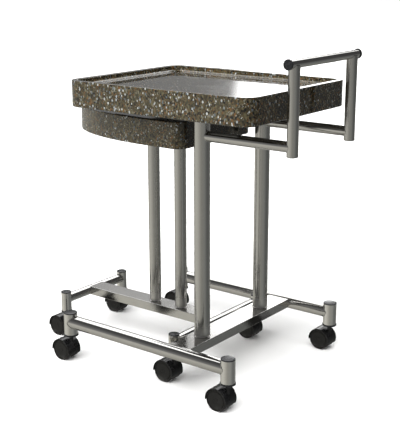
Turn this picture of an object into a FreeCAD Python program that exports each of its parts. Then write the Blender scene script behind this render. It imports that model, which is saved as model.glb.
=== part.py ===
"""Nested pair of instrument carts on twin-wheel casters.

Millimetres. +X runs toward the push handle, +Y to the far side, +Z up. The origin is on the floor,
under the middle of the whole nested pair. "Front" is the open -X end, where the inner cart rolls out,
"rear" is the handle end, "near" is -Y and "far" is +Y.
"""

import FreeCAD, Part
import math
import os

from FreeCAD import Vector

# ---- casters (all eight alike) ----
wheel_radius = 30.0
wheel_width = 16.0
wheel_tread_round = 2.5
wheel_side_gap = 0.6          # wheel to web, and wheel face inside the hood's edge
wheel_hood_gap = 1.2          # wheel tread to the inside of the hood
hood_thickness = 1.8
hood_front_angle = -22.0      # degrees from level, where the hood ends under the neck
hood_back_angle = 186.0       # degrees, where the hood ends behind the wheels
web_thickness = 12.0
caster_trail = 22.0           # stem axis to axle axis
neck_side_inset = 0.2         # neck's side in from the web's face
neck_foot_rise = 8.0          # neck's slanted foot above the axle
stem_radius = 4.0
stem_length = 24.0
stem_clearance = 0.05
axle_radius = 3.0
axle_clearance = 0.05
axle_end_cover = 2.2          # wheel face left over the axle's end
hub_radius = 8.0

# ---- stem sockets ----
socket_flange = 4.0
socket_flange_lip = 1.6
socket_depth = 25.0
neck_rise = 11.6              # hood top to the underside of the flange
neck_play = 0.4

# ---- tubes ----
tube_wall = 1.5
sleeve_diameter = 38.1
rail_diameter = 37.5
outer_column_diameter = 42.4
support_diameter = 27.4
post_diameter = 28.6
handle_diameter = 22.2
inner_sleeve_diameter = 30.0
inner_tube_diameter = 28.0
inner_column_diameter = 34.0
cap_height = 5.0
cap_proud = 1.2
cap_edge_round = 1.0

# ---- outer cart ----
outer_sleeve_reach_x = 273.5  # middle of the outer base to a sleeve axis
outer_sleeve_reach_y = 254.4
outer_sleeve_height = 62.3
rail_axis_drop = 25.3         # sleeve top to rail axis
bar_height = 26.0
bar_wall = 2.0
bar_corner_round = 1.2
cross_bar_width = 68.0
column_reach_x = 106.0
column_side_set_back = 114.9  # rails' axes in to the outer columns' axes
outer_tray_front = 279.0      # middle of the outer base to the tray's front edge
outer_tray_rear = 316.0
outer_tray_side_set_back = 19.6  # tray's side edge in from the rails' axes
outer_tray_corner = 40.0
outer_tray_top = 795.3
support_drop = 122.8          # tray top down to the support tubes' axes
post_foot_drop = 145.6        # tray top down to the feet of the posts
handle_rise = 75.9            # tray top up to the handle's axis
handle_set_back = 60.5        # tray's rear edge to the post axes
handle_overhang = 28.8        # handle's end past the post axis
handle_plug_radius = 13.2
handle_plug_width = 3.0
handle_saddle_drop = 3.0      # post lips below the handle axis

# ---- inner cart ----
inner_front_reach = 418.0     # middle of the outer base to the inner front sleeves
inner_front_half = 125.5
nest_side_gap = 25.05         # outer rail to inner rear sleeve
nest_stop_gap = 3.0           # outer cross bar to inner rear sleeves
inner_sleeve_height = 57.1
spine_width = 56.5
inner_column_front = 172.0    # middle of the outer base to each inner column, toward the front
inner_column_rear = 76.0
inner_tray_nose = 416.5
inner_tray_bow_start = 53.0
inner_tray_column_gap = 28.3  # inner tray's rear edge to the outer columns
inner_tray_half_width = 166.0
inner_tray_corner = 35.0
nest_top_gap = 22.0           # outer tray's foot to the inner tray's top

# ---- both trays ----
tray_thickness = 70.8
tray_recess = 15.5
rim_width = 16.0
rim_edge_round = 2.0
cove_radius = 12.0
foot_edge_round = 3.5
deck_thickness = 13.0
apron_width = 18.0

# ---- tray fixings ----
plate_thickness = 5.0
plate_length = 120.0
plate_width = 96.0
inner_plate_length = 190.0
plate_corner = 12.0
screw_inset = 14.0
screw_radius = 2.5
screw_bite = 8.0
screw_head_radius = 5.0
screw_head_height = 3.0
plate_hole_clearance = 0.3

# ---- worked out ----
hood_radius = wheel_radius + wheel_hood_gap + hood_thickness
hood_half_width = web_thickness / 2 + wheel_side_gap + wheel_width + wheel_side_gap
neck_radius = web_thickness / 2 - neck_side_inset
column_reach_y = outer_sleeve_reach_y - column_side_set_back
outer_tray_half_width = outer_sleeve_reach_y - outer_tray_side_set_back
support_axis_height = outer_tray_top - support_drop
post_foot_height = outer_tray_top - post_foot_drop
handle_reach = outer_tray_rear + handle_set_back
handle_axis_height = outer_tray_top + handle_rise
handle_half_length = column_reach_y + handle_overhang
inner_rear_reach = column_reach_x - (cross_bar_width + inner_sleeve_diameter) / 2 - nest_stop_gap
inner_rear_half = outer_sleeve_reach_y - (rail_diameter + inner_sleeve_diameter) / 2 - nest_side_gap
inner_tray_rear = column_reach_x - outer_column_diameter / 2 - inner_tray_column_gap
inner_tray_top = outer_tray_top - tray_thickness - nest_top_gap
half_length = (handle_reach + post_diameter / 2 + inner_front_reach + caster_trail + hood_radius) / 2
base_x = half_length - post_diameter / 2 - handle_reach
flange_underside = wheel_radius + hood_radius + neck_rise
sleeve_foot = flange_underside + socket_flange
outer_sleeve_top = sleeve_foot + outer_sleeve_height
inner_sleeve_top = sleeve_foot + inner_sleeve_height
rail_axis = outer_sleeve_top - rail_axis_drop
bar_top = rail_axis + bar_height / 2
overrun = 2.0                 # cutting tools run this far past the faces they cut
same_height = 0.01

X_AXIS = Vector(1, 0, 0)
Y_AXIS = Vector(0, 1, 0)
Z_AXIS = Vector(0, 0, 1)


# ---- shared shapes ----
def rod(radius, length, start, axis):
    return Part.makeCylinder(radius, length, start, axis)


def tube(diameter, length, start, axis):
    outside = rod(diameter / 2, length, start, axis)
    inside = rod(diameter / 2 - tube_wall, length + 2 * overrun, start - axis * overrun, axis)
    return outside.cut(inside)


def group_of(shapes):
    return Part.makeCompound(shapes)


def edges_at(shape, height):
    return [
        edge for edge in shape.Edges
        if abs(edge.BoundBox.ZMin - height) < same_height and abs(edge.BoundBox.ZMax - height) < same_height
    ]


def closed_face(edges):
    return Part.Face(Part.Wire(edges))


def rounded_rectangle(x_min, x_max, half_width, radius, z):
    turn = radius * (1 - math.sqrt(0.5))
    arcs = []
    for side_x, side_y in ((1, 1), (-1, 1), (-1, -1), (1, -1)):
        x = x_max if side_x > 0 else x_min
        y = side_y * half_width
        on_x_side = Vector(x, y - side_y * radius, z)
        on_y_side = Vector(x - side_x * radius, y, z)
        middle = Vector(x - side_x * turn, y - side_y * turn, z)
        first, last = (on_x_side, on_y_side) if side_x == side_y else (on_y_side, on_x_side)
        arcs.append(Part.Arc(first, middle, last))
    edges = []
    for arc, following in zip(arcs, arcs[1:] + arcs[:1]):
        edges.append(arc.toShape())
        edges.append(Part.makeLine(arc.EndPoint, following.StartPoint))
    return closed_face(edges)


def rectangular_tube(length, width, start, axis_is_y):
    """Tube of bar_height, centred on the rail axis height, running along X or Y from start."""
    def block(inset, run_past):
        size_along = length + 2 * run_past
        size_across = width - 2 * inset
        size_up = bar_height - 2 * inset
        low = rail_axis - size_up / 2
        if axis_is_y:
            corner = Vector(start.x - size_across / 2, start.y - run_past, low)
            return Part.makeBox(size_across, size_along, size_up, corner)
        corner = Vector(start.x - run_past, start.y - size_across / 2, low)
        return Part.makeBox(size_along, size_across, size_up, corner)

    outside = block(0, 0)
    if axis_is_y:
        long_edges = [edge for edge in outside.Edges if edge.BoundBox.YLength > same_height]
    else:
        long_edges = [edge for edge in outside.Edges if edge.BoundBox.XLength > same_height]
    return outside.makeFillet(bar_corner_round, long_edges).cut(block(bar_wall, overrun))


def sleeve_cap(x, y, top, diameter):
    """Plug in a sleeve's mouth, standing a little proud of the tube."""
    radius = diameter / 2 - tube_wall
    plug = rod(radius, cap_height + cap_proud, Vector(x, y, top - cap_height), Z_AXIS)
    return plug.makeFillet(cap_edge_round, edges_at(plug, top + cap_proud))


def stem_socket(x, y, diameter):
    """Insert in a sleeve's foot, with a flange under the tube and a bore for the caster's stem."""
    flange = rod(diameter / 2 + socket_flange_lip, socket_flange, Vector(x, y, flange_underside), Z_AXIS)
    plug = rod(diameter / 2 - tube_wall, socket_depth, Vector(x, y, sleeve_foot), Z_AXIS)
    bore_start = Vector(x, y, flange_underside - overrun)
    bore = rod(stem_radius + stem_clearance, socket_flange + socket_depth + 2 * overrun, bore_start, Z_AXIS)
    return flange.fuse(plug).removeSplitter().cut(bore)


# ---- trays ----
def outer_tray_outline(inset, z):
    return rounded_rectangle(
        base_x - outer_tray_front + inset,
        base_x + outer_tray_rear - inset,
        outer_tray_half_width - inset,
        outer_tray_corner - inset,
        z,
    )


def inner_tray_outline(inset, z):
    """Straight rear edge with round corners, and a front bowed as half an ellipse."""
    half_width = inner_tray_half_width - inset
    bow_x = base_x - inner_tray_bow_start
    bow_length = inner_tray_nose - inner_tray_bow_start - inset
    rear_x = base_x + inner_tray_rear - inset
    radius = inner_tray_corner - inset
    turn = radius * (1 - math.sqrt(0.5))
    bow = Part.Ellipse(Vector(bow_x, 0, z), bow_length, half_width)
    far_corner = Part.Arc(
        Vector(rear_x, half_width - radius, z),
        Vector(rear_x - turn, half_width - turn, z),
        Vector(rear_x - radius, half_width, z),
    )
    near_corner = Part.Arc(
        Vector(rear_x - radius, -half_width, z),
        Vector(rear_x - turn, -half_width + turn, z),
        Vector(rear_x, -half_width + radius, z),
    )
    return closed_face([
        far_corner.toShape(),
        Part.makeLine(far_corner.EndPoint, Vector(bow_x, half_width, z)),
        Part.ArcOfEllipse(bow, math.pi / 2, 3 * math.pi / 2).toShape(),
        Part.makeLine(Vector(bow_x, -half_width, z), near_corner.StartPoint),
        near_corner.toShape(),
        Part.makeLine(near_corner.EndPoint, far_corner.StartPoint),
    ])


def tray(outline, top):
    """Deck with a raised rim, a coved inner edge and an apron that hides the fixings below."""
    foot = top - tray_thickness
    deck_top = top - tray_recess
    body = outline(0, foot).extrude(Z_AXIS * tray_thickness)
    body = body.makeFillet(foot_edge_round, edges_at(body, foot))
    recess = outline(rim_width, deck_top).extrude(Z_AXIS * (tray_recess + overrun))
    recess = recess.makeFillet(cove_radius, edges_at(recess, deck_top))
    body = body.cut(recess)
    body = body.makeFillet(rim_edge_round, edges_at(body, top))
    hollow_height = deck_top - deck_thickness - foot + overrun
    hollow = outline(apron_width, foot - overrun).extrude(Z_AXIS * hollow_height)
    return body.cut(hollow)


def deck_underside(top):
    return top - tray_recess - deck_thickness


def screw_spots(x, y, length, width):
    return [
        (x + side_x * (length / 2 - screw_inset), y + side_y * (width / 2 - screw_inset))
        for side_x in (-1, 1) for side_y in (-1, 1)
    ]


def mounting_plate(x, y, length, width, top):
    plate_foot = deck_underside(top) - plate_thickness
    face = rounded_rectangle(x - length / 2, x + length / 2, width / 2, plate_corner, plate_foot)
    plate = face.extrude(Z_AXIS * plate_thickness)
    plate.translate(Vector(0, y, 0))
    hole_radius = screw_radius + plate_hole_clearance
    for screw_x, screw_y in screw_spots(x, y, length, width):
        start = Vector(screw_x, screw_y, plate_foot - overrun)
        plate = plate.cut(rod(hole_radius, plate_thickness + 2 * overrun, start, Z_AXIS))
    return plate


def screw(x, y, top):
    plate_foot = deck_underside(top) - plate_thickness
    shank = rod(screw_radius, plate_thickness + screw_bite, Vector(x, y, plate_foot), Z_AXIS)
    head = rod(screw_head_radius, screw_head_height, Vector(x, y, plate_foot - screw_head_height), Z_AXIS)
    head = head.makeFillet(screw_head_height / 2, edges_at(head, plate_foot - screw_head_height))
    return head.fuse(shank)


def drilled_tray(outline, top, spots):
    body = tray(outline, top)
    for x, y in spots:
        body = body.cut(rod(screw_radius, screw_bite, Vector(x, y, deck_underside(top)), Z_AXIS))
    return body


# ---- frames ----
def bottom_rail(y):
    start = Vector(base_x - outer_sleeve_reach_x, y, rail_axis)
    rail = tube(rail_diameter, 2 * outer_sleeve_reach_x, start, X_AXIS)
    for side in (-1, 1):
        end = Vector(base_x + side * outer_sleeve_reach_x, y, 0)
        rail = rail.cut(rod(sleeve_diameter / 2, outer_sleeve_top, end, Z_AXIS))
    return rail


def cross_bar():
    start = Vector(base_x + column_reach_x, -outer_sleeve_reach_y, rail_axis)
    bar = rectangular_tube(2 * outer_sleeve_reach_y, cross_bar_width, start, True)
    for side in (-1, 1):
        rail_start = Vector(base_x - outer_sleeve_reach_x, side * outer_sleeve_reach_y, rail_axis)
        bar = bar.cut(rod(rail_diameter / 2, 2 * outer_sleeve_reach_x, rail_start, X_AXIS))
    return bar


def spine_bar():
    start = Vector(base_x - inner_front_reach, 0, rail_axis)
    bar = rectangular_tube(inner_front_reach + inner_rear_reach, spine_width, start, False)
    for x in (base_x - inner_front_reach, base_x + inner_rear_reach):
        tube_start = Vector(x, -inner_rear_half, rail_axis)
        bar = bar.cut(rod(inner_tube_diameter / 2, 2 * inner_rear_half, tube_start, Y_AXIS))
    return bar


def inner_cross_tube(x, half_length_y):
    piece = tube(inner_tube_diameter, 2 * half_length_y, Vector(x, -half_length_y, rail_axis), Y_AXIS)
    for side in (-1, 1):
        sleeve = rod(inner_sleeve_diameter / 2, inner_sleeve_top, Vector(x, side * half_length_y, 0), Z_AXIS)
        piece = piece.cut(sleeve)
    return piece


def column(x, y, diameter, tray_top):
    top = deck_underside(tray_top) - plate_thickness
    return tube(diameter, top - bar_top, Vector(x, y, bar_top), Z_AXIS)


def handle_support(y):
    column_x = base_x + column_reach_x
    post_x = base_x + handle_reach
    piece = tube(support_diameter, post_x - column_x, Vector(column_x, y, support_axis_height), X_AXIS)
    column_core = rod(outer_column_diameter / 2, outer_tray_top, Vector(column_x, y, 0), Z_AXIS)
    post_core = rod(post_diameter / 2, outer_tray_top, Vector(post_x, y, 0), Z_AXIS)
    return piece.cut(column_core).cut(post_core)


def handle_post(y):
    height = handle_axis_height - handle_saddle_drop - post_foot_height
    post = tube(post_diameter, height, Vector(base_x + handle_reach, y, post_foot_height), Z_AXIS)
    return post.cut(handle_core())


def handle_core():
    start = Vector(base_x + handle_reach, -handle_half_length, handle_axis_height)
    return rod(handle_diameter / 2, 2 * handle_half_length, start, Y_AXIS)


def handle_bar():
    bar_half_length = handle_half_length - handle_plug_width
    start = Vector(base_x + handle_reach, -bar_half_length, handle_axis_height)
    return tube(handle_diameter, 2 * bar_half_length, start, Y_AXIS)


def handle_plugs():
    """Round plugs in the handle's two ends, and one in the foot of each post."""
    x = base_x + handle_reach
    plugs = []
    for side in (-1, 1):
        face = Vector(x, side * (handle_half_length - handle_plug_width), handle_axis_height)
        head = rod(handle_plug_radius, handle_plug_width, face, Y_AXIS * side)
        end_y = side * handle_half_length
        rim = [edge for edge in head.Edges if abs(edge.BoundBox.Center.y - end_y) < same_height]
        head = head.makeFillet(cap_edge_round, rim)
        spigot = rod(handle_diameter / 2 - tube_wall, cap_height, face, Y_AXIS * -side)
        plugs.append(head.fuse(spigot))
        foot = Vector(x, side * column_reach_y, post_foot_height - cap_proud)
        plugs.append(rod(post_diameter / 2 - tube_wall, cap_height + cap_proud, foot, Z_AXIS))
    return group_of(plugs)


# ---- casters, built with the stem on the origin and the wheels trailing toward -X ----
def around_axle(radius, half_width):
    return rod(radius, 2 * half_width, Vector(-caster_trail, -half_width, wheel_radius), Y_AXIS)


def below_hood():
    """Wedge under the wheels' axle that leaves the hood open toward the floor."""
    reach = hood_radius + wheel_radius
    past_side = hood_half_width + overrun
    centre = Vector(-caster_trail, -past_side, wheel_radius)
    middle = (hood_back_angle + 360 + hood_front_angle) / 2
    corners = [centre]
    for degrees in (hood_back_angle, middle, hood_front_angle):
        angle = math.radians(degrees)
        corners.append(centre + Vector(math.cos(angle), 0, math.sin(angle)) * reach)
    face = Part.Face(Part.makePolygon(corners + [centre]))
    return face.extrude(Y_AXIS * 2 * past_side)


def caster_hood():
    inside_radius = wheel_radius + wheel_hood_gap
    shell = around_axle(hood_radius, hood_half_width)
    shell = shell.cut(around_axle(inside_radius, hood_half_width + overrun))
    web = around_axle(inside_radius + hood_thickness / 2, web_thickness / 2)
    body = shell.fuse(web).cut(below_hood())
    neck_foot = wheel_radius + neck_foot_rise
    neck_top = flange_underside - neck_play
    neck = rod(neck_radius, neck_top - neck_foot, Vector(0, 0, neck_foot), Z_AXIS)
    stem = rod(stem_radius, stem_length + neck_play, Vector(0, 0, neck_top), Z_AXIS)
    hub = around_axle(hub_radius, web_thickness / 2)
    body = body.fuse([neck, stem, hub]).removeSplitter()
    return body.cut(around_axle(axle_radius, web_thickness))


def axle_half_length():
    return hood_half_width - wheel_side_gap - axle_end_cover


def caster_axle():
    return around_axle(axle_radius, axle_half_length())


def caster_wheel(side):
    inner_face = web_thickness / 2 + wheel_side_gap
    start = Vector(-caster_trail, side * inner_face, wheel_radius)
    wheel = rod(wheel_radius, wheel_width, start, Y_AXIS * side)
    treads = [edge for edge in wheel.Edges if edge.Closed and edge.BoundBox.YLength < same_height]
    wheel = wheel.makeFillet(wheel_tread_round, treads)
    bore_length = axle_half_length() - inner_face + axle_clearance + overrun
    bore_start = start - Y_AXIS * side * overrun
    return wheel.cut(rod(axle_radius + axle_clearance, bore_length, bore_start, Y_AXIS * side))


def moved(shape, x, y):
    copy = shape.copy()
    copy.translate(Vector(x, y, 0))
    return copy


# ---- assembly ----
outer_corners = [
    (end, side, base_x + sign_x * outer_sleeve_reach_x, sign_y * outer_sleeve_reach_y)
    for end, sign_x in (("front", -1), ("rear", 1)) for side, sign_y in (("near", -1), ("far", 1))
]
inner_ends = (
    ("front", -inner_front_reach, inner_front_half),
    ("rear", inner_rear_reach, inner_rear_half),
)
inner_corners = [
    (end, side, base_x + x, sign_y * half)
    for end, x, half in inner_ends for side, sign_y in (("near", -1), ("far", 1))
]
carts = {
    "outer": (outer_corners, sleeve_diameter, outer_sleeve_top, outer_sleeve_height),
    "inner": (inner_corners, inner_sleeve_diameter, inner_sleeve_top, inner_sleeve_height),
}
outer_column_x = base_x + column_reach_x
inner_column_middle = base_x - (inner_column_front + inner_column_rear) / 2
outer_spots = []
for plate_y in (-column_reach_y, column_reach_y):
    outer_spots += screw_spots(outer_column_x, plate_y, plate_length, plate_width)
inner_spots = screw_spots(inner_column_middle, 0, inner_plate_length, plate_width)

pieces = {
    "outer_tray": drilled_tray(outer_tray_outline, outer_tray_top, outer_spots),
    "outer_tray_plates": group_of([
        mounting_plate(outer_column_x, side * column_reach_y, plate_length, plate_width, outer_tray_top)
        for side in (-1, 1)
    ]),
    "outer_tray_screws": group_of([screw(x, y, outer_tray_top) for x, y in outer_spots]),
    "outer_cross_bar": cross_bar(),
    "handle_bar": handle_bar(),
    "handle_plugs": handle_plugs(),
    "inner_tray": drilled_tray(inner_tray_outline, inner_tray_top, inner_spots),
    "inner_tray_plate": mounting_plate(
        inner_column_middle, 0, inner_plate_length, plate_width, inner_tray_top
    ),
    "inner_tray_screws": group_of([screw(x, y, inner_tray_top) for x, y in inner_spots]),
    "inner_spine_bar": spine_bar(),
    "inner_front_tube": inner_cross_tube(base_x - inner_front_reach, inner_front_half),
    "inner_rear_tube": inner_cross_tube(base_x + inner_rear_reach, inner_rear_half),
    "inner_column_front": column(base_x - inner_column_front, 0, inner_column_diameter, inner_tray_top),
    "inner_column_rear": column(base_x - inner_column_rear, 0, inner_column_diameter, inner_tray_top),
}
for side, sign in (("near", -1), ("far", 1)):
    column_y = sign * column_reach_y
    pieces["outer_rail_" + side] = bottom_rail(sign * outer_sleeve_reach_y)
    pieces["outer_column_" + side] = column(outer_column_x, column_y, outer_column_diameter, outer_tray_top)
    pieces["handle_support_" + side] = handle_support(column_y)
    pieces["handle_post_" + side] = handle_post(column_y)

hood = caster_hood()
axle = caster_axle()
wheels = {"near": caster_wheel(-1), "far": caster_wheel(1)}
for cart, (corners, diameter, top, height) in carts.items():
    pieces[cart + "_corner_sleeves"] = group_of([
        tube(diameter, height, Vector(x, y, sleeve_foot), Z_AXIS) for end, side, x, y in corners
    ])
    pieces[cart + "_sleeve_caps"] = group_of([
        sleeve_cap(x, y, top, diameter) for end, side, x, y in corners
    ])
    pieces[cart + "_stem_sockets"] = group_of([
        stem_socket(x, y, diameter) for end, side, x, y in corners
    ])
    for end, side, x, y in corners:
        name = "caster_" + cart + "_" + end + "_" + side
        pieces[name + "_hood"] = moved(hood, x, y)
        pieces[name + "_axle"] = moved(axle, x, y)
        for wheel_side, wheel in wheels.items():
            pieces[name + "_wheel_" + wheel_side] = moved(wheel, x, y)

os.makedirs("parts", exist_ok=True)
for name, shape in pieces.items():
    shape.exportStep("parts/" + name + ".step")
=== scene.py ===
"""Nested pair of instrument carts: speckled stone trays, steel tube frames and twin-wheel casters.

Metres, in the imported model's own frame: +X runs toward the push handle, +Y to the far side, +Z up.
"""

import math

import bmesh
import bpy
from mathutils import Matrix, Vector


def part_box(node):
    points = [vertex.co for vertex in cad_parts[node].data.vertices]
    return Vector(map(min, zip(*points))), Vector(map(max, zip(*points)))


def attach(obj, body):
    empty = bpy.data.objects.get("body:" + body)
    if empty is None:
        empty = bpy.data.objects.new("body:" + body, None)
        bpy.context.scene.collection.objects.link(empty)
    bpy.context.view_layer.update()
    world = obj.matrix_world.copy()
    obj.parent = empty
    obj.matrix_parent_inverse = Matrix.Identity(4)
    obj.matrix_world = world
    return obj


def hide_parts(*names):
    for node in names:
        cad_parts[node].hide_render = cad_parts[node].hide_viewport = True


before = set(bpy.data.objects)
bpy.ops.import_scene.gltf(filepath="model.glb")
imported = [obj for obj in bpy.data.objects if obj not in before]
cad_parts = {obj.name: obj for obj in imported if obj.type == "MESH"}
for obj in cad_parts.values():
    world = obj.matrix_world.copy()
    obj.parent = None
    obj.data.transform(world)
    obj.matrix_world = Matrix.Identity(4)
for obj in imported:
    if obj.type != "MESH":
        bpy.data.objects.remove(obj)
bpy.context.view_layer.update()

MM = 0.001
TURN = 2 * math.pi
X_AXIS = Vector((1.0, 0.0, 0.0))
Y_AXIS = Vector((0.0, 1.0, 0.0))
Z_AXIS = Vector((0.0, 0.0, 1.0))


# ---- node trees ----
def feed(tree, socket, value):
    if isinstance(value, bpy.types.NodeSocket):
        tree.links.new(value, socket)
    else:
        socket.default_value = value


def node(tree, kind, settings=None, **inputs):
    """A node with its settings, and its named sockets given values or links."""
    made = tree.nodes.new(kind)
    for name, value in (settings or {}).items():
        setattr(made, name, value)
    for name, value in inputs.items():
        feed(tree, made.inputs[name.replace("_", " ")], value)
    return made


def maths(tree, operation, *values):
    made = tree.nodes.new("ShaderNodeMath")
    made.operation = operation
    for socket, value in zip(made.inputs, values):
        feed(tree, socket, value)
    return made.outputs[0]


def dot(tree, vector, axis):
    made = tree.nodes.new("ShaderNodeVectorMath")
    made.operation = "DOT_PRODUCT"
    feed(tree, made.inputs[0], vector)
    made.inputs[1].default_value = axis
    return made.outputs["Value"]


def mixed(tree, share, a, b):
    """Colour a where share is 0, b where it is 1."""
    made = tree.nodes.new("ShaderNodeMix")
    made.data_type = "RGBA"
    for place, value in ((0, share), (6, a), (7, b)):
        feed(tree, made.inputs[place], value)
    return made.outputs[2]


def grey(value):
    return (value, value, value, 1.0)


def ramp(tree, share, stops, steps=False):
    """A colour, or a plain grey, at each stop along share."""
    made = tree.nodes.new("ShaderNodeValToRGB")
    made.color_ramp.interpolation = "CONSTANT" if steps else "LINEAR"
    elements = made.color_ramp.elements
    while len(elements) < len(stops):
        elements.new(1.0)
    for element, (place, colour) in zip(elements, stops):
        element.position = place
        element.color = (*colour, 1.0) if isinstance(colour, tuple) else grey(colour)
    feed(tree, made.inputs[0], share)
    return made.outputs[0]


def between(tree, value, low, high, start=0.0, end=1.0, smooth=True):
    """start below low, end above high, and an even change between."""
    made = tree.nodes.new("ShaderNodeMapRange")
    made.interpolation_type = "SMOOTHSTEP" if smooth else "LINEAR"
    for socket, number in zip(made.inputs, (value, low, high, start, end)):
        feed(tree, socket, number)
    return made.outputs[0]


# ---- camera ----
camera_place = (1.6262, -2.0998, 1.1172)
camera_turn = (90.0 - 15.093, 0.081, 37.14)
lens_mm = 87.84

camera_data = bpy.data.cameras.new("camera")
camera_data.sensor_fit = "HORIZONTAL"
camera_data.sensor_width = 36.0
camera_data.lens = lens_mm
camera_data.clip_end = 60.0
camera = bpy.data.objects.new("camera", camera_data)
camera.location = camera_place
camera.rotation_euler = [math.radians(angle) for angle in camera_turn]
bpy.context.scene.collection.objects.link(camera)
bpy.context.scene.camera = camera
bpy.context.scene.view_settings.view_transform = "Standard"


# ---- studio ----
def studio():
    """A white room: a tall window and a big soft screen behind, and a dark front."""
    world = bpy.data.worlds.new("studio")
    bpy.context.scene.world = world
    world.use_nodes = True
    tree = world.node_tree
    tree.nodes.clear()
    direction = node(tree, "ShaderNodeTexCoord").outputs["Generated"]
    yaw = math.radians(camera_turn[2])
    right = dot(tree, direction, (math.cos(yaw), math.sin(yaw), 0.0))
    behind = dot(tree, direction, (-math.sin(yaw), math.cos(yaw), 0.0))
    up = dot(tree, direction, Z_AXIS)
    share = maths(tree, "MULTIPLY_ADD", right, 0.5, 0.5)

    low = ramp(tree, share, [
        (0.0, (0.66, 0.65, 0.59)), (0.15, (0.50, 0.49, 0.445)), (0.40, (0.32, 0.315, 0.285)),
        (0.80, (0.27, 0.275, 0.26)), (0.93, (0.17, 0.175, 0.17)), (1.0, (0.12, 0.12, 0.118)),
    ])
    high = ramp(tree, up, [(0.0, 0.26), (0.4, 0.13), (0.7, 0.08), (1.0, 0.10)])
    high = mixed(tree, between(tree, right, 0.2, 0.7), high, grey(0.07))
    around = mixed(tree, between(tree, up, -0.2, 0.06), low, high)

    def band(value, start, end, soft):
        """1 from start to end, with soft edges."""
        rise = between(tree, value, start - soft, start + soft)
        fall = between(tree, value, end - soft, end + soft, 1.0, 0.0)
        return maths(tree, "MULTIPLY", rise, fall)

    def panel(across, upward, nearest, farthest):
        """1 where both bands are, on the side behind the cart only."""
        face = maths(tree, "MULTIPLY", across, upward)
        return maths(tree, "MULTIPLY", face, between(tree, behind, nearest, farthest))

    # only the glossy surfaces see these three; each is 0 outside it and 1 on it
    screen = panel(band(right, -0.56, 0.56, 0.05), band(up, 0.47, 0.88, 0.05), 0.10, 0.26)
    leaning = maths(tree, "MULTIPLY_ADD", up, 0.18, right)
    window = panel(band(leaning, 0.064, 0.23, 0.012), band(up, 0.02, 0.37, 0.012), 0.3, 0.5)
    haze = panel(band(right, -0.13, 0.02, 0.03), band(up, 0.285, 0.49, 0.015), 0.3, 0.5)
    mirrored = mixed(tree, haze, around, grey(haze_strength))
    mirrored = mixed(tree, window, mirrored, grey(window_strength))
    mirrored = mixed(tree, screen, mirrored, grey(screen_strength))

    # only the matt surfaces are lit by the dome and the canopy over it
    ground = mixed(tree, share, grey(0.3), grey(0.02))
    dome = ramp(tree, share, [(0.0, 0.75), (0.4, 0.5), (0.65, 0.2), (0.9, 0.05), (1.0, 0.03)])
    dome = mixed(tree, between(tree, up, -0.3, 0.08), ground, dome)
    overhead = dot(tree, direction, Vector((0.17, -0.47, 0.87)).normalized())
    leftward = between(tree, right, 0.0, 0.5, 1.0, 0.05)
    canopy = maths(tree, "MULTIPLY", between(tree, overhead, 0.64, 0.98), leftward)
    dome = mixed(tree, canopy, dome, grey(canopy_strength))

    path = node(tree, "ShaderNodeLightPath")
    lit = mixed(tree, path.outputs["Is Diffuse Ray"], mirrored, dome)
    lit = mixed(tree, path.outputs["Is Camera Ray"], lit, grey(1.0))
    background = node(tree, "ShaderNodeBackground", Color=lit)
    output = tree.nodes.new("ShaderNodeOutputWorld")
    tree.links.new(background.outputs[0], output.inputs[0])


def soft_light(name, place, aim, size, power, colour):
    data = bpy.data.lights.new(name, "AREA")
    data.shape = "SQUARE"
    data.size = size
    data.energy = power
    data.color = colour
    made = bpy.data.objects.new(name, data)
    made.location = place
    made.rotation_euler = (Vector(aim) - Vector(place)).to_track_quat("-Z", "Y").to_euler()
    made.visible_camera = False
    made.visible_glossy = False
    bpy.context.scene.collection.objects.link(made)


haze_strength, window_strength, screen_strength, canopy_strength = 0.55, 3.4, 2.5, 5.6
studio()
soft_light(
    "front left", place=(-1.5, -2.6, 1.15), aim=(0.0, 0.0, 0.7), size=1.4, power=27.0,
    colour=(1.0, 0.985, 0.96),
)


def floor_material():
    material = bpy.data.materials.new("pale floor")
    material.use_nodes = True
    tree = material.node_tree
    shader = tree.nodes["Principled BSDF"]
    shader.inputs["Roughness"].default_value = 0.9
    shader.inputs["Specular IOR Level"].default_value = 0.0
    coords = node(tree, "ShaderNodeTexCoord").outputs["Object"]
    mottle = node(tree, "ShaderNodeTexNoise", Vector=coords, Scale=3.0, Detail=2.0).outputs["Fac"]
    colour = ramp(tree, mottle, [(0.3, (0.945, 0.943, 0.935)), (0.7, (0.96, 0.958, 0.95))])
    tree.links.new(colour, shader.inputs["Base Color"])
    return material


bpy.ops.mesh.primitive_plane_add(size=40.0)
floor = bpy.context.object
floor.name = "floor"
floor.visible_glossy = False
floor.visible_diffuse = False
floor.data.materials.append(floor_material())


# ---- shared effects ----
def effect(name, inputs, outputs, build):
    """A shader node group: build(tree, inputs) returns the value of each output."""
    kinds = {"vector": "NodeSocketVector", "colour": "NodeSocketColor", "value": "NodeSocketFloat"}
    group = bpy.data.node_groups.new(name, "ShaderNodeTree")
    for label, kind, *default in inputs:
        socket = group.interface.new_socket(name=label, in_out="INPUT", socket_type=kinds[kind])
        if default:
            socket.default_value = default[0]
    for label, kind in outputs:
        group.interface.new_socket(name=label, in_out="OUTPUT", socket_type=kinds[kind])
    entry = group.nodes.new("NodeGroupInput")
    leave = group.nodes.new("NodeGroupOutput")
    for label, value in build(group, entry.outputs).items():
        group.links.new(value, leave.inputs[label])
    return group


def chip_cells(tree, vector, scale):
    """Chips of one size: three chance numbers for each chip, and the distance from its middle."""
    cells = node(tree, "ShaderNodeTexVoronoi", Vector=vector, Scale=scale)
    chance = node(tree, "ShaderNodeSeparateColor", Color=cells.outputs["Color"])
    return chance.outputs, cells.outputs["Distance"]


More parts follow.
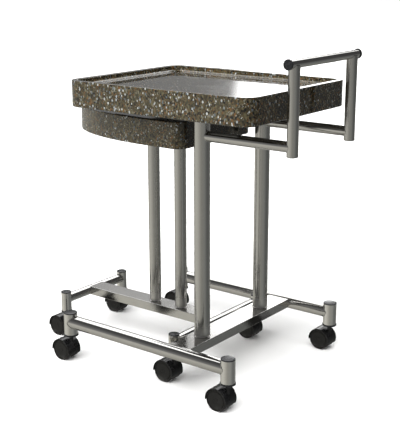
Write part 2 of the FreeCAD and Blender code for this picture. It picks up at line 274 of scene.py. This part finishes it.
def build_stone_chips(tree, given):
    """Medium and small chips in browns and greens, with larger pale flakes here and there."""
    stretch = node(tree, "ShaderNodeMapping", Vector=given["Vector"], Scale=(1.0, 1.0, 0.72))
    wobble = node(tree, "ShaderNodeTexNoise", Vector=stretch.outputs[0], Scale=700.0, Detail=1.0)
    shift = node(tree, "ShaderNodeVectorMath", {"operation": "MULTIPLY_ADD"})
    tree.links.new(wobble.outputs["Color"], shift.inputs[0])
    shift.inputs[1].default_value = (0.0016, 0.0016, 0.0016)
    tree.links.new(stretch.outputs[0], shift.inputs[2])
    vector = shift.outputs[0]
    medium_chance = chip_cells(tree, vector, chips_per_metre)[0]
    medium = ramp(tree, medium_chance[0], [
        (0.0, (0.010, 0.008, 0.004)), (0.18, (0.056, 0.040, 0.015)), (0.34, (0.105, 0.078, 0.036)),
        (0.50, (0.135, 0.115, 0.058)), (0.66, (0.055, 0.052, 0.028)), (0.80, (0.165, 0.080, 0.024)),
        (0.87, (0.21, 0.19, 0.13)), (0.94, (0.14, 0.165, 0.175)),
    ], steps=True)
    small_chance, small_distance = chip_cells(tree, vector, grains_per_metre)
    small = ramp(tree, small_chance[0], [
        (0.0, (0.014, 0.011, 0.006)), (0.30, (0.080, 0.059, 0.027)), (0.55, (0.130, 0.107, 0.055)),
        (0.75, (0.055, 0.050, 0.029)), (0.89, (0.19, 0.090, 0.028)), (0.95, (0.38, 0.37, 0.31)),
    ], steps=True)
    body = mixed(tree, between(tree, medium_chance[1], 0.42, 0.5), medium, small)
    flake_chance, flake_distance = chip_cells(tree, vector, flakes_per_metre)
    chosen = between(tree, flake_chance[1], 0.83, 0.84)
    size = between(tree, flake_chance[2], 0.0, 1.0, 0.20, 0.42, smooth=False)
    inside = maths(tree, "LESS_THAN", flake_distance, size)
    flake = maths(tree, "MULTIPLY", chosen, inside)
    flake_colour = ramp(tree, flake_chance[0], [
        (0.0, (0.66, 0.68, 0.66)), (0.40, (0.44, 0.47, 0.48)), (0.7, (0.26, 0.28, 0.26)),
    ], steps=True)
    colour = mixed(tree, flake, body, flake_colour)
    tone = node(tree, "ShaderNodeTexNoise", Vector=given["Vector"], Scale=45.0, Detail=2.0)
    lift = between(tree, tone.outputs["Fac"], 0.3, 0.7, 0.58, 0.82, smooth=False)
    toned = node(tree, "ShaderNodeVectorMath", {"operation": "SCALE"})
    tree.links.new(colour, toned.inputs[0])
    tree.links.new(lift, toned.inputs["Scale"])
    height = maths(tree, "MULTIPLY", small_distance, 0.5)
    return {"Color": toned.outputs[0], "Flake": flake, "Height": height}


chips_per_metre, grains_per_metre, flakes_per_metre = 255.0, 480.0, 150.0
stone_chips = effect(
    "stone chips", [("Vector", "vector")],
    [("Color", "colour"), ("Flake", "value"), ("Height", "value")], build_stone_chips,
)


def build_polish_grain(tree, given):
    """Fine polishing lines, slow smears over them, and above a column's foot a rougher band whose
    colour is lightened as a painted reflection of the bright floor.
    """
    lines = node(tree, "ShaderNodeTexNoise", Vector=given["Stretched"], Scale=1.0, Detail=3.0)
    smear = node(tree, "ShaderNodeTexNoise", Vector=given["Vector"], Scale=28.0, Detail=3.0)
    fine = node(tree, "ShaderNodeTexNoise", Vector=given["Vector"], Scale=1600.0, Detail=1.0)
    spread = between(tree, smear.outputs["Fac"], 0.35, 0.7, -0.5, 0.5, smooth=False)
    rough = maths(tree, "MULTIPLY_ADD", spread, given["Smear"], given["Roughness"])
    line_swing = maths(tree, "SUBTRACT", lines.outputs["Fac"], 0.5)
    rough = maths(tree, "MULTIPLY_ADD", line_swing, 0.10, rough)
    fine_swing = maths(tree, "SUBTRACT", fine.outputs["Fac"], 0.5)
    tone = maths(tree, "MULTIPLY_ADD", fine_swing, 0.22, 1.0)
    tone = maths(tree, "MULTIPLY_ADD", spread, 0.05, tone)
    height_up = node(tree, "ShaderNodeSeparateXYZ", Vector=given["Vector"]).outputs["Z"]
    near_foot = between(tree, height_up, foot_low, foot_high, 1.0, 0.0)
    foot = maths(tree, "MULTIPLY", near_foot, given["Blended Foot"])
    # near a column's foot: rougher, and a lighter tone that is a painted reflection of the bright
    # floor
    rough = maths(tree, "MULTIPLY_ADD", foot, 0.36, rough)
    tone = maths(tree, "MULTIPLY_ADD", foot, 0.5, tone)
    fine_height = maths(tree, "MULTIPLY", fine.outputs["Fac"], 0.6)
    height = maths(tree, "ADD", lines.outputs["Fac"], fine_height)
    return {"Roughness": rough, "Tone": tone, "Height": height}


# heights of the band where a column's foot is made rougher and painted lighter, as a reflection of
# the floor
foot_low, foot_high = 0.128, 0.172
polish_grain = effect(
    "polish grain",
    [
        ("Vector", "vector"), ("Stretched", "vector"), ("Roughness", "value", 0.2),
        ("Smear", "value", 0.08), ("Blended Foot", "value", 0.0),
    ],
    [("Roughness", "value"), ("Tone", "value"), ("Height", "value")], build_polish_grain,
)


def build_moulded_grain(tree, given):
    """Fine moulded texture with scuffs and a little dust low down."""
    grain = node(tree, "ShaderNodeTexNoise", Vector=given["Vector"], Scale=1400.0, Detail=2.0)
    cloud = node(tree, "ShaderNodeTexNoise", Vector=given["Vector"], Scale=60.0, Detail=4.0)
    scuff = between(tree, cloud.outputs["Fac"], 0.56, 0.72)
    height = node(tree, "ShaderNodeSeparateXYZ", Vector=given["Vector"]).outputs["Z"]
    low = between(tree, height, 0.0, given["Dust Height"], 1.0, 0.0)
    dust = maths(tree, "MULTIPLY", low, between(tree, cloud.outputs["Fac"], 0.38, 0.66))
    return {"Height": grain.outputs["Fac"], "Scuff": scuff, "Dust": dust}


moulded_grain = effect(
    "moulded grain", [("Vector", "vector"), ("Dust Height", "value", 0.02)],
    [("Height", "value"), ("Scuff", "value"), ("Dust", "value")], build_moulded_grain,
)


# ---- materials ----
def new_material(name):
    material = bpy.data.materials.new(name)
    material.use_nodes = True
    tree = material.node_tree
    coords = node(tree, "ShaderNodeTexCoord").outputs["Object"]
    return material, tree, tree.nodes["Principled BSDF"], coords


def place_effect(tree, group, **inputs):
    made = tree.nodes.new("ShaderNodeGroup")
    made.node_tree = group
    for name, value in inputs.items():
        feed(tree, made.inputs[name.replace("_", " ")], value)
    return made.outputs


def add_bump(tree, shader, height, strength):
    bump = node(tree, "ShaderNodeBump", Height=height, Strength=strength, Distance=0.2 * MM)
    tree.links.new(bump.outputs[0], shader.inputs["Normal"])


def stone_material():
    material, tree, shader, coords = new_material("speckled stone")
    chips = place_effect(tree, stone_chips, Vector=coords)
    haze = node(tree, "ShaderNodeTexNoise", Vector=coords, Scale=30.0, Detail=3.0).outputs["Fac"]
    rough = between(tree, haze, 0.35, 0.7, 0.16, 0.28)
    rough = maths(tree, "MULTIPLY_ADD", chips["Flake"], 0.05, rough)
    tree.links.new(chips["Color"], shader.inputs["Base Color"])
    tree.links.new(rough, shader.inputs["Roughness"])
    shader.inputs["Coat Weight"].default_value = 1.0
    shader.inputs["Coat IOR"].default_value = 1.5
    shader.inputs["Specular IOR Level"].default_value = 0.2
    tree.links.new(between(tree, haze, 0.35, 0.7, 0.025, 0.06), shader.inputs["Coat Roughness"])
    add_bump(tree, shader, chips["Height"], 0.08)
    return material


def steel_material(
    name, line_scale, colour=(0.60, 0.592, 0.572), roughness=0.19, smear=0.08, bump=0.10, foot=0.0
):
    """Brushed stainless; line_scale is dense along the tube, so the lines go round it."""
    material, tree, shader, coords = new_material(name)
    stretched = node(tree, "ShaderNodeMapping", Vector=coords, Scale=line_scale).outputs[0]
    grain = place_effect(
        tree, polish_grain, Vector=coords, Stretched=stretched, Roughness=roughness, Smear=smear,
        Blended_Foot=foot,
    )
    tint = node(tree, "ShaderNodeVectorMath", {"operation": "SCALE"})
    tint.inputs[0].default_value = colour
    tree.links.new(grain["Tone"], tint.inputs["Scale"])
    tree.links.new(tint.outputs[0], shader.inputs["Base Color"])
    tree.links.new(grain["Roughness"], shader.inputs["Roughness"])
    shader.inputs["Metallic"].default_value = 1.0
    add_bump(tree, shader, grain["Height"], bump)
    return material


def plastic_material(name, colour, scuffed, roughness, gloss=0.5):
    """Moulded black plastic, paler where it's scuffed, with some dust near the floor."""
    material, tree, shader, coords = new_material(name)
    shader.inputs["Specular IOR Level"].default_value = gloss
    mould = place_effect(tree, moulded_grain, Vector=coords, Dust_Height=0.02)
    worn = mixed(tree, mould["Scuff"], (*colour, 1.0), (*scuffed, 1.0))
    dust = maths(tree, "MULTIPLY", mould["Dust"], 0.35)
    dusty = mixed(tree, dust, worn, (0.16, 0.155, 0.145, 1.0))
    tree.links.new(dusty, shader.inputs["Base Color"])
    rough = maths(tree, "MULTIPLY_ADD", mould["Scuff"], 0.12, roughness)
    rough = maths(tree, "MULTIPLY_ADD", mould["Dust"], 0.25, rough)
    tree.links.new(rough, shader.inputs["Roughness"])
    add_bump(tree, shader, mould["Height"], 0.15)
    return material


# noise cells for each metre: dense along a tube and loose round it, so the lines go round
dense, loose = 2600.0, 60.0
speckled_stone = stone_material()
# the uprights get the rougher foot band with its painted reflection of the floor
upright_steel = steel_material("upright tube steel", (loose, loose, dense), foot=1.0)
sleeve_steel = steel_material("sleeve steel", (loose, loose, dense), (0.80, 0.79, 0.765))
lengthwise_steel = steel_material(
    "lengthwise tube steel", (dense, loose, loose), roughness=0.11, smear=0.05
)
crosswise_steel = steel_material(
    "crosswise tube steel", (loose, dense, loose), roughness=0.11, smear=0.05
)
bar_steel = steel_material(
    "flat bar steel", (500.0, 900.0, 900.0), roughness=0.12, smear=0.05, bump=0.15
)
plate_coat = steel_material(
    "plate grey coat", (400.0, 400.0, 400.0), (0.32, 0.32, 0.32),
    roughness=0.42, smear=0.1, bump=0.2,
)
bright_zinc = steel_material(
    "bright zinc", (600.0, 600.0, 600.0), (0.66, 0.67, 0.68), roughness=0.24, smear=0.08, bump=0.1
)
weld_steel = steel_material(
    "weld bead steel", (900.0, 900.0, 900.0), (0.66, 0.65, 0.63), roughness=0.2, smear=0.1, bump=0.3
)
hood_black = plastic_material(
    "caster hood black", (0.011, 0.011, 0.0115), scuffed=(0.02, 0.02, 0.02), roughness=0.24
)
wheel_black = plastic_material(
    "caster wheel black", (0.009, 0.0088, 0.0082), scuffed=(0.015, 0.0145, 0.014),
    roughness=0.42, gloss=0.3,
)
plug_black = plastic_material(
    "plug black", (0.016, 0.0165, 0.018), scuffed=(0.028, 0.028, 0.03), roughness=0.26, gloss=0.26
)


def node_look(name):
    if name.endswith("_tray"):
        return speckled_stone
    if name.endswith("_hood"):
        return hood_black
    if "_wheel_" in name:
        return wheel_black
    if "plugs" in name or "caps" in name or "sockets" in name:
        return plug_black
    if "screws" in name or name.endswith("_axle"):
        return bright_zinc
    if "plate" in name:
        return plate_coat
    if name.endswith("_bar") and name != "handle_bar":
        return bar_steel
    if name == "handle_bar" or name in ("inner_front_tube", "inner_rear_tube"):
        return crosswise_steel
    if "rail" in name or "support" in name:
        return lengthwise_steel
    if name.endswith("_sleeves"):
        return sleeve_steel
    return upright_steel


for name, cad_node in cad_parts.items():
    cad_node.data.materials.clear()
    cad_node.data.materials.append(node_look(name))


# ---- made pieces ----
caster_trail = 22.0 * MM
hood_outside, lip_radius = 33.0 * MM, 1.4 * MM
hood_front, hood_back = math.radians(-22.0), math.radians(186.0)
sleeve_radius = {"outer": 19.05 * MM, "inner": 15.0 * MM}
cap_radius = {"outer": 19.0 * MM, "inner": 14.9 * MM}
cap_height, cap_rounding = 2.8 * MM, 1.0 * MM
bead_radius, fine_bead_radius = 1.5 * MM, 1.1 * MM
merge_distance = 0.02 * MM
sharp_angle = math.radians(38.0)


def middle_of(name):
    low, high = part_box(name)
    return (low + high) / 2


def tube_radius(name, axis):
    """Half a tube's width along an axis, given by its letter."""
    low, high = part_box(name)
    return (getattr(high, axis) - getattr(low, axis)) / 2


def sleeve_axis(cart, end, side, height):
    """A point on a corner sleeve's axis, which stands ahead of the caster's axle."""
    axle = middle_of("caster_" + cart + "_" + end + "_" + side + "_axle")
    return Vector((axle.x + caster_trail, axle.y, height))


def finish_piece(name, mesh, material, body, nodes=()):
    bmesh.ops.remove_doubles(mesh, verts=mesh.verts, dist=merge_distance)
    bmesh.ops.recalc_face_normals(mesh, faces=mesh.faces)
    data = bpy.data.meshes.new(name)
    mesh.to_mesh(data)
    mesh.free()
    data.shade_smooth()
    data.set_sharp_from_angle(angle=sharp_angle)
    data.materials.append(material)
    piece = bpy.data.objects.new(name, data)
    bpy.context.scene.collection.objects.link(piece)
    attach(piece, body)
    if nodes:
        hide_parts(*nodes)


def bead(mesh, centre, axis, major, minor):
    """A round bead of weld laid in a ring about an axis."""
    side = axis.orthogonal().normalized()
    turn = Matrix((side, axis, side.cross(axis))).transposed().to_4x4()
    place = Matrix.Translation(centre + side * major) @ turn
    circle = bmesh.ops.create_circle(mesh, segments=8, radius=minor, matrix=place)["verts"]
    edges = list({edge for vert in circle for edge in vert.link_edges})
    bmesh.ops.spin(
        mesh, geom=circle + edges, cent=centre, axis=axis, angle=TURN, steps=48, use_merge=True
    )


def saddle_bead(mesh, centre, along, across, tube, sleeve, minor):
    """A bead round the end of a tube of one radius, bent to a round sleeve of another.

    centre is where the axes meet, along points down the tube, and across is square to both axes.
    """
    before = set(mesh.verts)
    bead(mesh, centre, along, tube, minor)
    for vert in mesh.verts:
        if vert not in before:
            out = vert.co - centre
            out -= along * out.dot(along)
            off = min(tube * abs(out.normalized().dot(across)), sleeve)
            vert.co += along * math.sqrt(sleeve ** 2 - off ** 2)


def wheel_profile(width):
    """From the middle of the outer face, over the tread, to the bore: (radius, depth) in mm."""
    return [
        # hub dimple and the groove round the outer face
        (0.0, 0.7), (6.4, 0.7), (6.9, 1.2), (7.6, 1.2), (8.1, 0.7),
        (23.4, 0.5), (24.2, 1.7), (25.8, 1.7), (26.6, 0.3),
        # tread, with rounded shoulders
        (27.6, 0.0), (28.6, 0.15), (29.5, 0.8), (29.9, 1.8), (30.0, 3.0),
        (30.0, width - 3.0), (29.7, width - 1.2), (28.8, width - 0.3), (27.5, width),
        # inner face and the blind bore
        (24.0, width), (23.2, width - 1.4), (9.4, width - 1.4), (8.8, width), (3.3, width),
        (3.1, width - 0.3), (3.1, 2.1), (0.0, 2.1),
    ]


def make_wheel(name):
    low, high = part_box(name)
    outward = 1.0 if name.endswith("_far") else -1.0
    hub = middle_of(name)
    hub.y = high.y if outward > 0 else low.y
    mesh = bmesh.new()
    outline = [
        mesh.verts.new(hub + Vector((0.0, -outward * depth * MM, radius * MM)))
        for radius, depth in wheel_profile((high.y - low.y) / MM)
    ]
    for first, second in zip(outline, outline[1:]):
        mesh.edges.new((first, second))
    bmesh.ops.spin(
        mesh, geom=mesh.verts[:] + mesh.edges[:], cent=hub, axis=Y_AXIS, angle=TURN, steps=72,
        use_merge=True,
    )
    finish_piece(name + "_turned", mesh, wheel_black, name, [name])


def make_hood_lips(caster):
    """Rounded lips along both open edges of a caster's hood."""
    low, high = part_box(caster + "_hood")
    axle = middle_of(caster + "_axle")
    mesh = bmesh.new()
    start = Vector((math.cos(hood_front), 0.0, math.sin(hood_front)))
    turn = Matrix((start, Y_AXIS, start.cross(Y_AXIS))).transposed().to_4x4()
    for side, edge in ((-1.0, low.y), (1.0, high.y)):
        middle = axle + start * (hood_outside - lip_radius)
        middle.y = edge - side * 0.2 * MM
        ring = bmesh.ops.create_circle(
            mesh, segments=12, radius=lip_radius, cap_ends=True,
            matrix=Matrix.Translation(middle) @ turn,
        )["verts"]
        faces = list({face for vert in ring for face in vert.link_faces})
        bmesh.ops.spin(
            mesh, geom=faces, cent=Vector((axle.x, middle.y, axle.z)), axis=Y_AXIS,
            angle=hood_front - hood_back, steps=40, use_duplicate=False,
        )
    finish_piece(caster + "_lips", mesh, hood_black, caster)


def make_cap_heads(cart):
    """Plug heads that cover the sleeves' mouths, each with a rounded edge."""
    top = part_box(cart + "_corner_sleeves")[1].z
    mesh = bmesh.new()
    for end in ("front", "rear"):
        for side in ("near", "far"):
            centre = sleeve_axis(cart, end, side, top + cap_height / 2)
            before = set(mesh.faces)
            bmesh.ops.create_cone(
                mesh, cap_ends=True, segments=64, depth=cap_height,
                radius1=cap_radius[cart], radius2=cap_radius[cart],
                matrix=Matrix.Translation(centre),
            )
            rim = [
                edge for face in mesh.faces if face not in before and len(face.verts) > 4
                for edge in face.edges if edge.verts[0].co.z > centre.z
            ]
            bmesh.ops.bevel(
                mesh, geom=rim, offset=cap_rounding, segments=3, profile=0.5, affect="EDGES",
                material=-1,
            )
    finish_piece(
        cart + "_cap_heads", mesh, plug_black, cart + "_cart", [cart + "_sleeve_caps"]
    )


def add_foot_bead(mesh, column):
    """The fillet round a column's foot, on top of its bar."""
    foot = middle_of(column)
    foot.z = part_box(column)[0].z + bead_radius / 2
    bead(mesh, foot, Z_AXIS, tube_radius(column, "x"), bead_radius)


def make_outer_weld_beads():
    """Fillets where the outer cart's tubes meet sleeves, columns and posts, and round its feet."""
    mesh = bmesh.new()
    for side in ("near", "far"):
        rail, support = "outer_rail_" + side, "handle_support_" + side
        for end, outward in (("front", -1.0), ("rear", 1.0)):
            corner = sleeve_axis("outer", end, side, middle_of(rail).z)
            saddle_bead(
                mesh, corner, -X_AXIS * outward, Y_AXIS, tube_radius(rail, "z"),
                sleeve_radius["outer"], bead_radius,
            )
        column, post = "outer_column_" + side, "handle_post_" + side
        add_foot_bead(mesh, column)
        for upright, inward in ((column, 1.0), (post, -1.0)):
            meeting = middle_of(upright)
            meeting.z = middle_of(support).z
            saddle_bead(
                mesh, meeting, X_AXIS * inward, Y_AXIS, tube_radius(support, "z"),
                tube_radius(upright, "x"), fine_bead_radius,
            )
    finish_piece("outer_weld_beads", mesh, weld_steel, "outer_cart")


def make_inner_weld_beads():
    """Fillets where the inner cart's cross tubes meet sleeves, and round its columns' feet."""
    mesh = bmesh.new()
    for end in ("front", "rear"):
        tube = "inner_" + end + "_tube"
        for side, outward in (("near", -1.0), ("far", 1.0)):
            corner = sleeve_axis("inner", end, side, middle_of(tube).z)
            saddle_bead(
                mesh, corner, -Y_AXIS * outward, X_AXIS, tube_radius(tube, "z"),
                sleeve_radius["inner"], fine_bead_radius,
            )
        add_foot_bead(mesh, "inner_column_" + end)
    finish_piece("inner_weld_beads", mesh, weld_steel, "inner_cart")


for cart in ("outer", "inner"):
    make_cap_heads(cart)
make_outer_weld_beads()
make_inner_weld_beads()
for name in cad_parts:
    if "_wheel_" in name:
        make_wheel(name)
    elif name.endswith("_hood"):
        make_hood_lips(name.removesuffix("_hood"))
